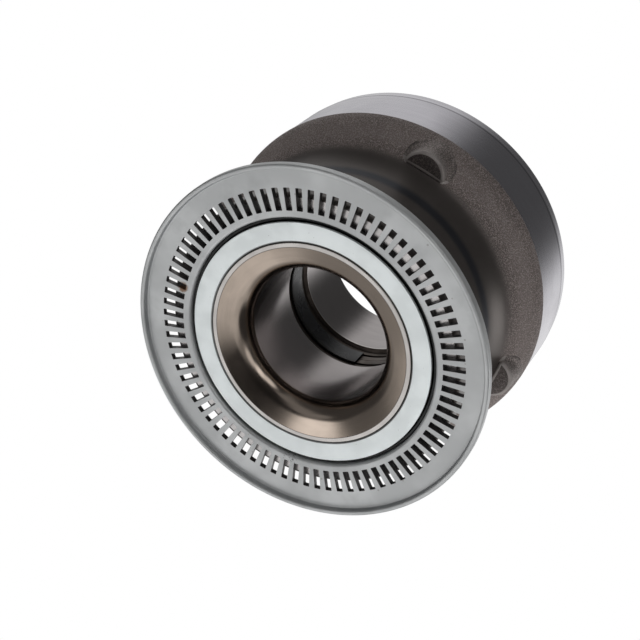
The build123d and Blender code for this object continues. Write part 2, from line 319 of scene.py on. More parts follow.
@dataclass
class Wiring:
    """Short words for wiring one node tree."""

    tree: Tree

    def feed(self, socket: Socket, value: object) -> None:
        """Links a socket into another, or writes a plain value on it.

        Args:
            socket: The input.
            value: A socket, a number, a colour without alpha, or None to leave the input alone.
        """
        if isinstance(value, Socket):
            self.tree.links.new(value, socket)
        elif value is not None:
            socket.default_value = (*value, 1.0) if socket.type == "RGBA" else value

    def add(self, kind: str, *values: object, **settings: object) -> Node:
        """Adds a node.

        Args:
            kind: The node's type.
            values: What its first inputs are fed with, in order.
            settings: Its properties.

        Returns:
            The node.
        """
        node = self.tree.nodes.new(kind)
        for key, value in settings.items():
            setattr(node, key, value)
        for socket, value in zip(node.inputs, values):
            self.feed(socket, value)
        return node

    def spot(self) -> Socket:
        """The place on the piece, in metres in the shared frame."""
        return self.add("ShaderNodeTexCoord").outputs["Object"]

    def math(self, operation: str, *values: object) -> Socket:
        """The result of a Math node over sockets or numbers."""
        return self.add("ShaderNodeMath", *values, operation=operation).outputs[0]

    def length(self, *legs: Socket) -> Socket:
        """The length of a line, from how far it goes in two directions square to each other."""
        squares = [self.math("MULTIPLY", leg, leg) for leg in legs]
        return self.math("SQRT", self.math("ADD", *squares))

    def spread(self, value: object, low: float, high: float, start: float = 0.0, end: float = 1.0) -> Socket:
        """Maps a value smoothly from low and high to start and end, and holds it at the ends."""
        settings = {"interpolation_type": "SMOOTHSTEP", "clamp": True}
        return self.add("ShaderNodeMapRange", value, low, high, start, end, **settings).outputs[0]

    def level(self, share: Socket, first: object, second: object) -> Socket:
        """Mixes two numbers."""
        return self.add("ShaderNodeMix", share, None, first, second, data_type="FLOAT").outputs[0]

    def mix(self, share: object, first: object, second: object, blend: str = "MIX") -> Socket:
        """Mixes two colours.

        Args:
            share: How much of the second one shows.
            first: The first colour.
            second: The second colour.
            blend: The way they are blended.

        Returns:
            The mixed colour.
        """
        node = self.add("ShaderNodeMix", share, data_type="RGBA", blend_type=blend)
        self.feed(node.inputs[6], first)
        self.feed(node.inputs[7], second)
        return node.outputs[2]

    def shade(self, colour: object, value: Socket, depth: float) -> Socket:
        """Makes a colour darker and lighter under a value.

        Args:
            colour: The colour.
            value: The value, from 0 for darker to 1 for lighter.
            depth: How far it goes either way.

        Returns:
            The shaded colour.
        """
        tone = self.spread(value, 0.0, 1.0, 1.0 - depth, 1.0 + depth)
        grey = self.add("ShaderNodeCombineColor", tone, tone, tone)
        return self.mix(1.0, colour, grey.outputs[0], "MULTIPLY")

    def noise(self, vector: Socket, scale: object, detail: float = 3.0, roughness: float = 0.5) -> Socket:
        """Noise over a vector, from about 0 to 1.

        Args:
            vector: The place that the noise is read at.
            scale: Its scale, per metre.
            detail: How many finer layers it has.
            roughness: How strong those are.

        Returns:
            The noise value.
        """
        node = self.add("ShaderNodeTexNoise")
        settings = {"Vector": vector, "Scale": scale, "Detail": detail, "Roughness": roughness}
        for key, value in settings.items():
            self.feed(node.inputs[key], value)
        return node.outputs["Fac"]

    def group(self, tree: Tree, **inputs: object) -> Node:
        """Places a node group.

        Args:
            tree: The group.
            inputs: What its inputs are fed with, by name.

        Returns:
            The group's node.
        """
        node = self.add("ShaderNodeGroup", node_tree=tree)
        for word, value in inputs.items():
            self.feed(node.inputs[label(word)], value)
        return node

    def give(self, **results: Socket) -> Tree:
        """Ends a node group with its outputs.

        Args:
            results: What each output gives, by name.

        Returns:
            The finished group.
        """
        for word in results:
            self.tree.interface.new_socket(label(word), in_out="OUTPUT", socket_type="NodeSocketFloat")
        self.add("NodeGroupOutput", *results.values())
        return self.tree


def new_group(name: str, **inputs: float) -> tuple[Wiring, Sockets]:
    """Starts a shader node group.

    Args:
        name: The group's name.
        inputs: Its inputs with their usual values.

    Returns:
        The group's wiring and the sockets that give its inputs.
    """
    tree = bpy.data.node_groups.new(name, "ShaderNodeTree")
    for word, value in inputs.items():
        socket = tree.interface.new_socket(label(word), in_out="INPUT", socket_type="NodeSocketFloat")
        socket.default_value = value
    wiring = Wiring(tree)
    return wiring, wiring.add("NodeGroupInput").outputs


@dataclass
class Patterns:
    """The node groups that the finishes share, each built once."""

    lug_centre: float = 65.0
    place: Tree = field(init=False)
    grain: Tree = field(init=False)
    lines: Tree = field(init=False)
    band: Tree = field(init=False)
    specks: Tree = field(init=False)

    def __post_init__(self) -> None:
        """Builds every group."""
        self.place = self.build_place()
        self.grain = self.build_grain()
        self.lines = self.build_lines()
        self.band = self.build_band()
        self.specks = self.build_specks()

    def build_place(self) -> Tree:
        """Where a point lies.

        Returns:
            The group: radius, height and distance from the nearest lug's middle, in millimetres,
            and angle in turns.
        """
        wiring, _ = new_group("place on axis")
        x, y, z = wiring.add("ShaderNodeSeparateXYZ", wiring.spot()).outputs
        sides = [wiring.math("ABSOLUTE", side) for side in (x, y)]
        longer, shorter = (wiring.math(pick, *sides) for pick in ("MAXIMUM", "MINIMUM"))
        outward = wiring.math("SUBTRACT", wiring.math("DIVIDE", longer, MM), self.lug_centre)
        return wiring.give(
            radius=wiring.math("DIVIDE", wiring.length(x, y), MM),
            height=wiring.math("DIVIDE", z, MM),
            angle=wiring.math("DIVIDE", wiring.math("ARCTAN2", y, x), math.tau),
            from_lug=wiring.length(outward, wiring.math("DIVIDE", shorter, MM)),
        )

    def build_grain(self) -> Tree:
        """Pits and bumps of a blasted or forged skin, with a slow cloud over it.

        Returns:
            The group.
        """
        wiring, given = new_group("grain", size=1.0, cloud_size=12.0)
        spot = wiring.spot()
        fine, slow = (wiring.math("DIVIDE", 1.0 / MM, given[key]) for key in ("Size", "Cloud size"))
        bumps = wiring.noise(spot, fine, 4.0, 0.62)
        pits = wiring.noise(spot, wiring.math("MULTIPLY", fine, 1.7), 2.0)
        cloud = wiring.noise(spot, slow, 3.0, 0.55)
        return wiring.give(
            height=wiring.math("ADD", bumps, wiring.math("MULTIPLY", pits, 0.5)),
            pits=wiring.spread(pits, 0.56, 0.72),
            cloud=wiring.spread(cloud, 0.3, 0.7),
        )

    def build_lines(self) -> Tree:
        """Fine turned lines round the axis: uneven grooves along the radius and the height.

        Returns:
            The group.
        """
        wiring, given = new_group("turned lines", pitch=0.3)
        place = wiring.group(self.place).outputs
        step = wiring.math("DIVIDE", wiring.math("ADD", place["Radius"], place["Height"]), given["Pitch"])
        slow, fast = (wiring.math("MULTIPLY", place["Angle"], times) for times in (3.0, 9.0))
        close = wiring.add("ShaderNodeCombineXYZ", step, slow)
        wide = wiring.add("ShaderNodeCombineXYZ", wiring.math("MULTIPLY", step, 0.12), fast)
        return wiring.give(
            height=wiring.noise(close.outputs[0], 1.0, 2.0, 0.6),
            streak=wiring.spread(wiring.noise(wide.outputs[0], 1.0, 3.0, 0.6), 0.3, 0.7),
        )

    def build_band(self) -> Tree:
        """1 within a distance of a middle value, and fading out past it.

        Returns:
            The group.
        """
        wiring, given = new_group("band", value=0.0, middle=0.0, reach=1.0, fade=1.0)
        away = wiring.math("ABSOLUTE", wiring.math("SUBTRACT", given["Value"], given["Middle"]))
        over = wiring.math("DIVIDE", wiring.math("SUBTRACT", away, given["Reach"]), given["Fade"])
        return wiring.give(mask=wiring.spread(over, 0.0, 1.0, 1.0, 0.0))

    def build_specks(self) -> Tree:
        """Scattered small marks: dust or dots in a plated skin.

        Returns:
            The group.
        """
        wiring, given = new_group("specks", spacing=4.0, size=0.1)
        cells = wiring.add("ShaderNodeTexVoronoi", feature="F1")
        wiring.feed(cells.inputs["Vector"], wiring.spot())
        wiring.feed(cells.inputs["Scale"], wiring.math("DIVIDE", 1.0 / MM, given["Spacing"]))
        tint = wiring.add("ShaderNodeSeparateColor", cells.outputs["Color"])
        size = wiring.math("MULTIPLY", given["Size"], tint.outputs[0])
        inside = wiring.math("SUBTRACT", size, cells.outputs["Distance"])
        return wiring.give(mask=wiring.spread(inside, 0.0, 0.03))


# Finishes


class Measure(Enum):
    """What a mark is placed by."""

    RADIUS = "Radius"
    HEIGHT = "Height"
    FROM_LUG = "From lug"


@dataclass(frozen=True)
class Mark:
    """A ring drawn on a finish, round the axis or round a lug: a heat-tint band, a painted highlight line or
    a painted shade line.
    """

    measure: Measure
    middle: float
    reach: float
    fade: float
    colour: Triple
    share: float = 1.0


@dataclass
class Canvas:
    """A material in the making: its wiring, the shared groups and its own grain."""

    wiring: Wiring
    patterns: Patterns
    grain: Sockets

    def place(self, measure: Measure) -> Socket:
        """One measure of the place on the piece."""
        return self.wiring.group(self.patterns.place).outputs[measure.value]


@dataclass(frozen=True)
class Finish:
    """A finish of the object: its colour, its gloss and the fine form of its skin."""

    name: str
    colour: Triple
    roughness: float
    metallic: float = 1.0
    cloud_size: float = 14.0
    cloud_depth: float = 0.12
    grain_size: float = 0.6
    grain_height: float = 0.0
    line_pitch: float = 0.3
    line_height: float = 0.0
    streak_depth: float = 0.0
    speck_spacing: float = 0.0
    speck_colour: Triple = (0.1, 0.1, 0.1)
    roughness_spread: float = 0.06
    marks: tuple[Mark, ...] = ()

    def build(self, patterns: Patterns) -> Material:
        """Builds the finish as a node material.

        Args:
            patterns: The shared node groups.

        Returns:
            The material.
        """
        material = bpy.data.materials.new(self.name)
        material.use_nodes = True
        wiring = Wiring(material.node_tree)
        grain = wiring.group(patterns.grain, size=self.grain_size, cloud_size=self.cloud_size).outputs
        canvas = Canvas(wiring, patterns, grain)
        colour = wiring.shade(self.colour, grain["Cloud"], self.cloud_depth)
        height = self.relief(canvas)
        if self.streak_depth > 0.0:
            lines = wiring.group(patterns.lines, pitch=self.line_pitch).outputs
            height = wiring.math("ADD", height, wiring.math("MULTIPLY", lines["Height"], self.line_height))
            colour = wiring.shade(colour, lines["Streak"], self.streak_depth)
        if self.speck_spacing > 0.0:
            specks = wiring.group(patterns.specks, spacing=self.speck_spacing).outputs
            colour = wiring.mix(specks["Mask"], colour, self.speck_colour)
        colour = self.detail(canvas, colour)
        # Marks are tint bands, painted highlight lines and painted shade lines.
        for mark in self.marks:
            size = {"middle": mark.middle, "reach": mark.reach, "fade": mark.fade}
            ring = wiring.group(patterns.band, value=canvas.place(mark.measure), **size).outputs
            colour = wiring.mix(wiring.math("MULTIPLY", ring["Mask"], mark.share), colour, mark.colour)
        bump = wiring.add("ShaderNodeBump")
        shader = material.node_tree.nodes["Principled BSDF"]
        for socket, value in (
            (bump.inputs["Strength"], 1.0), (bump.inputs["Distance"], MM), (bump.inputs["Height"], height),
            (shader.inputs["Metallic"], self.metallic), (shader.inputs["Roughness"], self.gloss(canvas)),
            (shader.inputs["Base Color"], colour), (shader.inputs["Normal"], bump.outputs["Normal"]),
        ):
            wiring.feed(socket, value)
        return material

    def relief(self, canvas: Canvas) -> Socket:
        """Height of the grain, in millimetres."""
        return canvas.wiring.math("MULTIPLY", canvas.grain["Height"], self.grain_height)

    def gloss(self, canvas: Canvas) -> Socket:
        """The roughness, a little uneven under the cloud."""
        low, high = self.roughness - self.roughness_spread, self.roughness + self.roughness_spread
        return canvas.wiring.spread(canvas.grain["Cloud"], 0.0, 1.0, high, low)

    def detail(self, canvas: Canvas, colour: Socket) -> Socket:
        """The colour with what only one finish has. The plain finish has nothing more."""
        return colour


@dataclass(frozen=True)
class ForgedSkin(Finish):
    """Dark scaled skin of the forging: grained and brown outside, smooth and olive in the neck."""

    grained_radii: tuple[float, float] = (63.5, 68.0)
    pit_colour: Triple = (0.03, 0.026, 0.024)
    worn_colour: Triple = (0.6, 0.52, 0.49)
    smooth_colour: Triple = (0.085, 0.076, 0.07)
    smooth_share: float = 0.85
    smooth_roughness: float = 0.36
    smooth_height: float = 0.12

    def grained(self, canvas: Canvas) -> Socket:
        """1 on the shoulder and the lugs, where the skin is grained, and 0 in the neck."""
        return canvas.wiring.spread(canvas.place(Measure.RADIUS), *self.grained_radii)

    def relief(self, canvas: Canvas) -> Socket:
        """Height of the grain, in millimetres, low in the neck.

        Args:
            canvas: The material in the making.

        Returns:
            The height.
        """
        heights = (self.smooth_height * self.grain_height, self.grain_height)
        depth = canvas.wiring.spread(self.grained(canvas), 0.0, 1.0, *heights)
        return canvas.wiring.math("MULTIPLY", canvas.grain["Height"], depth)

    def gloss(self, canvas: Canvas) -> Socket:
        """The roughness, lower in the smooth neck."""
        return canvas.wiring.spread(self.grained(canvas), 0.0, 1.0, self.smooth_roughness, self.roughness)

    def detail(self, canvas: Canvas, colour: Socket) -> Socket:
        """Adds dark pits, pale worn grains and the smooth neck.

        Args:
            canvas: The material in the making.
            colour: The colour so far.

        Returns:
            The colour with its detail.
        """
        wiring, zone = canvas.wiring, self.grained(canvas)
        pits = wiring.math("MULTIPLY", zone, canvas.grain["Pits"])
        tops = wiring.math("MULTIPLY", wiring.spread(canvas.grain["Height"], 0.7, 0.92, 0.0, 0.9), zone)
        colour = wiring.mix(tops, wiring.mix(pits, colour, self.pit_colour), self.worn_colour)
        return wiring.mix(wiring.spread(zone, 0.0, 1.0, self.smooth_share, 0.0), colour, self.smooth_colour)


@dataclass(frozen=True)
class ZincSheet(Finish):
    """Matt zinc plate, duller in patches, with a rust mark at one slot and a scuff."""

    dull_colour: Triple = (0.36, 0.37, 0.37)
    rust_colour: Triple = (0.23, 0.12, 0.06)
    rust_place: Triple = (-58.1, -9.6, 103.5)
    scuff_colour: Triple = (0.1, 0.1, 0.1)
    scuff_place: Triple = (14.0, -54.5, 103.5)

    def detail(self, canvas: Canvas, colour: Socket) -> Socket:
        """Adds dull patches, a small rust mark and a scuffed spot.

        Args:
            canvas: The material in the making.
            colour: The colour so far.

        Returns:
            The colour with its detail.
        """
        wiring = canvas.wiring
        spot = wiring.spot()
        marked = (Vector(place) * MM for place in (self.rust_place, self.scuff_place))
        from_rust, from_scuff = (
            wiring.add("ShaderNodeVectorMath", spot, place, operation="DISTANCE").outputs["Value"]
            for place in marked
        )
        dull = wiring.spread(wiring.noise(spot, 42.0, 4.0, 0.6), 0.52, 0.72, 0.0, 0.35)
        ragged = wiring.math("MULTIPLY", wiring.noise(spot, 900.0), 2.2 * MM)
        rust = wiring.spread(wiring.math("ADD", from_rust, ragged), 2.6 * MM, 4.0 * MM, 0.9, 0.0)
        near = wiring.spread(from_scuff, 2.0 * MM, 4.5 * MM, 0.8, 0.0)
        scratched = wiring.spread(wiring.noise(spot, 1300.0, 2.0), 0.55, 0.62)
        colour = wiring.mix(rust, wiring.mix(dull, colour, self.dull_colour), self.rust_colour)
        return wiring.mix(wiring.math("MULTIPLY", near, scratched), colour, self.scuff_colour)


@dataclass
class Finishes:
    """Every finish of the bearing."""

    patterns: Patterns

    def __post_init__(self) -> None:
        """Builds the materials."""
        make = self.patterns
        heat_ring = Mark(Measure.HEIGHT, 63.9, 0.8, 3.4, (0.022, 0.028, 0.04), 0.8)
        forged = ForgedSkin(
            "forged skin", (0.225, 0.191, 0.181), 0.66, metallic=0.6, cloud_size=26.0, cloud_depth=0.1,
            grain_size=0.5, grain_height=0.18,
            # The pale ring at radius 71.2 is a painted highlight on the shoulder's convex turn.
            marks=(heat_ring, Mark(Measure.RADIUS, 71.2, 0.9, 2.8, (0.45, 0.39, 0.37), 0.3)),
        )
        self.forged = forged.build(make)
        self.lug = replace(
            forged, name="forged lug", colour=(0.17, 0.148, 0.14), roughness=0.55, grain_height=0.1,
            marks=(
                heat_ring,
                Mark(Measure.HEIGHT, 51.4, 0.12, 0.05, (0.07, 0.058, 0.054), 0.65),
                # Pale lines on the rounded edge of the lug's face, flat side and arc, are painted highlights.
                Mark(Measure.RADIUS, 66.65, 0.4, 0.35, (0.5, 0.46, 0.44), 0.8),
                Mark(Measure.FROM_LUG, 8.8, 0.45, 0.35, (0.5, 0.46, 0.44), 0.8),
                # The dark ring round the lug's foot is painted shade in the crease.
                Mark(Measure.FROM_LUG, 12.0, 0.4, 1.2, (0.06, 0.053, 0.05), 0.6),
            ),
        ).build(make)
        self.turned = Finish(
            "turned seat", (0.575, 0.56, 0.6), 0.24, cloud_size=30.0, cloud_depth=0.03, line_height=0.0006,
            streak_depth=0.02, roughness_spread=0.03,
            marks=(
                # Painted shade line at height 6.6 and painted highlight line at 4.9, beside the lead-in step.
                Mark(Measure.HEIGHT, 6.6, 0.25, 0.5, (0.12, 0.115, 0.13), 0.6),
                Mark(Measure.HEIGHT, 4.9, 0.5, 0.6, (0.75, 0.74, 0.78), 0.5),
            ),
        ).build(make)
        self.shoulder = Finish(
            "turned shoulder", (0.5, 0.48, 0.475), 0.26, cloud_depth=0.05, line_height=0.001,
            streak_depth=0.04, roughness_spread=0.02,
        ).build(make)
        self.zinc = ZincSheet(
            "zinc sheet", (0.6, 0.612, 0.615), 0.42, metallic=0.5, cloud_size=22.0, cloud_depth=0.04,
            grain_size=0.5, grain_height=0.006, speck_spacing=6.0, speck_colour=(0.42, 0.42, 0.41),
            # The dark ring at radius 74.75 is painted shade at the foot of the lip.
            marks=(Mark(Measure.RADIUS, 74.75, 0.1, 0.2, (0.2, 0.21, 0.23), 0.4),),
        ).build(make)
        # Slot walls are near black: bare cut steel, darkened further as painted shade inside the slots.
        self.sheared = ZincSheet(
            "sheared edge with painted shade", (0.13, 0.125, 0.125), 0.5, metallic=0.8, cloud_size=3.0, cloud_depth=0.25,
            grain_size=0.3, grain_height=0.01, rust_place=(-58.1, -9.6, 102.5),
        ).build(make)
        self.flinger = Finish(
            "pale zinc", (0.87, 0.918, 0.92), 0.36, metallic=0.55, cloud_size=10.0, cloud_depth=0.02,
            grain_size=0.5, grain_height=0.003, speck_spacing=2.4, speck_colour=(0.6, 0.63, 0.63),
            # The dark ring at radius 44.2 is painted shade in the groove at the flinger's bend.
            marks=(Mark(Measure.RADIUS, 44.2, 0.4, 0.35, (0.05, 0.05, 0.05), 0.8),),
        ).build(make)
        self.bronze = Finish(
            "bronze mouth", (0.35, 0.293, 0.247), 0.19, cloud_size=16.0, cloud_depth=0.05,
            grain_size=0.4, grain_height=0.003, line_pitch=0.45, line_height=0.001, streak_depth=0.03,
            speck_spacing=3.0, speck_colour=(0.27, 0.22, 0.18), roughness_spread=0.03,
        ).build(make)
        self.end_face = Finish(
            "ground end face", (0.54, 0.515, 0.495), 0.3, cloud_depth=0.03, line_height=0.001,
            streak_depth=0.03, marks=(Mark(Measure.RADIUS, 42.0, 0.12, 0.12, (0.06, 0.045, 0.035), 0.85),),
        ).build(make)
        self.bore = Finish(
            "ground bore", (0.41, 0.382, 0.378), 0.22, cloud_size=26.0, cloud_depth=0.03, line_height=0.0004,
            streak_depth=0.02, roughness_spread=0.02,
            # The pale line at height 41.75 is a painted highlight where the recess chamfer meets the bore.
            marks=(Mark(Measure.HEIGHT, 41.75, 0.14, 0.1, (0.75, 0.72, 0.7), 0.8),),
        ).build(make)
        # The clip recess is much darker than the bronze: painted shade in the groove under the clip.
        self.recess = Finish(
            "clip recess", (0.11, 0.092, 0.08), 0.38, metallic=0.9, cloud_size=6.0, cloud_depth=0.1,
            line_height=0.002, streak_depth=0.08,
        ).build(make)
        self.raceway = Finish(
            "ground raceway", (0.6, 0.6, 0.61), 0.18, cloud_depth=0.03, line_height=0.001,
            streak_depth=0.03,
        ).build(make)
        self.roller = Finish(
            "roller steel", (0.66, 0.66, 0.67), 0.14, cloud_size=6.0, cloud_depth=0.04, grain_size=0.3,
            grain_height=0.001,
        ).build(make)
        self.cage = Finish(
            "cage steel", (0.2, 0.19, 0.18), 0.45, metallic=0.9, cloud_size=8.0, cloud_depth=0.12,
            grain_size=0.5, grain_height=0.01,
        ).build(make)
        self.case = Finish(
            "case steel", (0.42, 0.42, 0.43), 0.4, cloud_depth=0.08, grain_size=0.4, grain_height=0.004,
        ).build(make)
        self.plastic = Finish(
            "clip plastic", (0.035, 0.038, 0.044), 0.3, metallic=0.0, cloud_size=8.0, cloud_depth=0.1,
            grain_size=0.4, grain_height=0.003,
            # Black bands at both edges of the clip are painted shade where it sits in the groove.
            marks=(
                Mark(Measure.HEIGHT, 55.5, 0.9, 0.3, (0.003, 0.003, 0.003)),
                Mark(Measure.HEIGHT, 46.3, 0.3, 0.3, (0.003, 0.003, 0.003)),
            ),
        ).build(make)
        self.rubber = Finish(
            "seal rubber", (0.014, 0.015, 0.015), 0.55, metallic=0.0, cloud_size=5.0, cloud_depth=0.25,
            grain_size=0.35, grain_height=0.008,
        ).build(make)


# The outer ring


@dataclass
class Lug:
    """A half-round forged lug that rises from the flare, blended into it all round."""

    radius: float = 9.4
    centre: float = 65.0
    flat_offset: float = 0.6
    corner_round: float = 1.3
    face_height: float = 51.3
    draft: float = 2.0
    edge_round: float = 1.0
    edge_steps: int = 12
    blend: float = 2.8
    blend_share: float = 0.45
    blend_lead: int = 5
    wall_loops: int = 8
    wall_depth: float = 18.0
    wall_step: float = 0.05
    blend_loops: int = 8
    blend_step: float = 0.02
    blend_limit: float = 75.35
    bury: tuple[float, float] = (0.4, 0.12)
    arc_steps: int = 20
    corner_steps: int = 8

    def stations(self) -> list[tuple[Vector, Vector]]:
        """Points round the lug's face, each with the direction that leads away from it.

        Returns:
            Pairs of a flat place and a flat unit direction.
        """
        corner = Vector((self.flat_offset + self.corner_round, 0.0))
        corner.y = math.sqrt((self.radius - self.corner_round) ** 2 - corner.x ** 2)
        meet = math.atan2(corner.y, corner.x)
        pairs = []

        def arc(middle: Vector, radius: float, angles: Sequence[float]) -> None:
            """Adds points on an arc, each with its outward direction.

            Args:
                middle: The arc's middle.
                radius: Its radius.
                angles: Where its points lie.
            """
            for angle in angles:
                away = Vector((math.cos(angle), math.sin(angle)))
                pairs.append((middle + away * radius, away))

        round_steps = range(-self.arc_steps, self.arc_steps + 1)
        arc(Vector((0.0, 0.0)), self.radius, [meet * step / self.arc_steps for step in round_steps])
        bends = [(math.pi - meet) * step / self.corner_steps for step in range(1, self.corner_steps)]
        arc(corner, self.corner_round, [meet + bend for bend in bends])
        for step in range(2 * self.corner_steps + 1):
            flat = Vector((self.flat_offset, corner.y * (1.0 - step / self.corner_steps)))
            pairs.append((flat, Vector((-1.0, 0.0))))
        arc(Vector((corner.x, -corner.y)), self.corner_round, [math.pi + bend for bend in bends])
        return [(Vector((self.centre, 0.0)) + place, away) for place, away in pairs]

    def wall(self) -> list[Point]:
        """The lug's edge and wall from its face downwards.

        Returns:
            Points, as distance out and height.
        """
        lean = math.radians(90.0 - self.draft)
        line = []
        for step in range(self.edge_steps + 1):
            angle = lean * step / self.edge_steps
            drop = self.edge_round * (1.0 - math.cos(angle))
            line.append((self.edge_round * (math.sin(angle) - 1.0), self.face_height - drop))
        slope = math.tan(math.radians(self.draft))
        while line[-1][1] > self.face_height - self.wall_depth:
            line.append((line[-1][0] + self.wall_step * slope, line[-1][1] - self.wall_step))
        return line

    def column(self, place: Vector, away: Vector, surface: Callable[[float], float]) -> list[Vector]:
        """One column of points from below the forging's skin up to the edge of the lug's face.

        Args:
            place: The station on the lug's outline.
            away: The flat direction that leads away from the lug.
            surface: Height of the forging's skin at a distance from the axis.

        Returns:
            The points from the lowest to the highest.
        """
        wall = self.wall()
        crossing = next(
            index for index, (out, height) in enumerate(wall) if height < surface((place + away * out).length)
        )
        lengths = list(itertools.accumulate(map(math.dist, wall, wall[1:]), initial=0.0))
        reach = min(self.blend, self.blend_share * lengths[crossing])
        start = next(index for index, length in enumerate(lengths) if length >= lengths[crossing] - reach)
        skin = [Vector(wall[crossing])]
        walked = 0.0
        while walked < reach and (place + away * skin[-1].x).length < self.blend_limit:
            out = skin[-1].x + self.blend_step
            skin.append(Vector((out, surface((place + away * out).length))))
            walked += (skin[-1] - skin[-2]).length
        landing = skin[-1]
        ahead = (landing - skin[-self.blend_lead]).normalized()
        buried = landing + self.bury[0] * ahead + self.bury[1] * Vector((ahead.y, -ahead.x))
        path = [buried]
        for step in range(self.blend_loops + 1):
            share = step / self.blend_loops
            first = landing.lerp(skin[0], share)
            second = skin[0].lerp(Vector(wall[start]), share)
            path.append(first.lerp(second, share))
        for step in range(1, self.wall_loops + 1):
            wanted = lengths[start] * (1.0 - step / self.wall_loops)
            nearest = min(range(start + 1), key=lambda index: abs(lengths[index] - wanted))
            path.append(Vector(wall[nearest]))
        return [Vector((*(place + away * point.x), point.y)) for point in path]

    def model(self, surface: Callable[[float], float]) -> Piece:
        """Models the lug: a disc extruded loop by loop, each loop set on the columns.

        Args:
            surface: Height of the forging's skin at a distance from the axis.

        Returns:
            The lug on +X.
        """
        columns = [self.column(place, away, surface) for place, away in self.stations()]
        clear_selection()
        bpy.ops.mesh.primitive_circle_add(vertices=len(columns), radius=self.radius * MM, fill_type="NGON")
        piece = bpy.context.active_object
        piece.name = piece.data.name = "lug"
        station = piece.data.attributes.new("station", "INT", "POINT")
        station.data.foreach_set("value", list(range(len(columns))))
        for loop in range(len(columns[0])):
            if loop > 0:
                bpy.ops.object.mode_set(mode="EDIT")
                bpy.ops.mesh.select_mode(type="FACE")
                bpy.ops.mesh.extrude_region()
                bpy.ops.object.mode_set(mode="OBJECT")
            numbers = piece.data.attributes["station"].data
            for vertex in piece.data.vertices:
                if vertex.select:
                    vertex.co = columns[numbers[vertex.index].value][loop] * MM
        bpy.ops.object.mode_set(mode="EDIT")
        bpy.ops.mesh.select_all(action="SELECT")
        bpy.ops.mesh.remove_doubles(threshold=FINE_MERGE)
        bpy.ops.mesh.normals_make_consistent(inside=False)
        bpy.ops.object.mode_set(mode="OBJECT")
        return piece


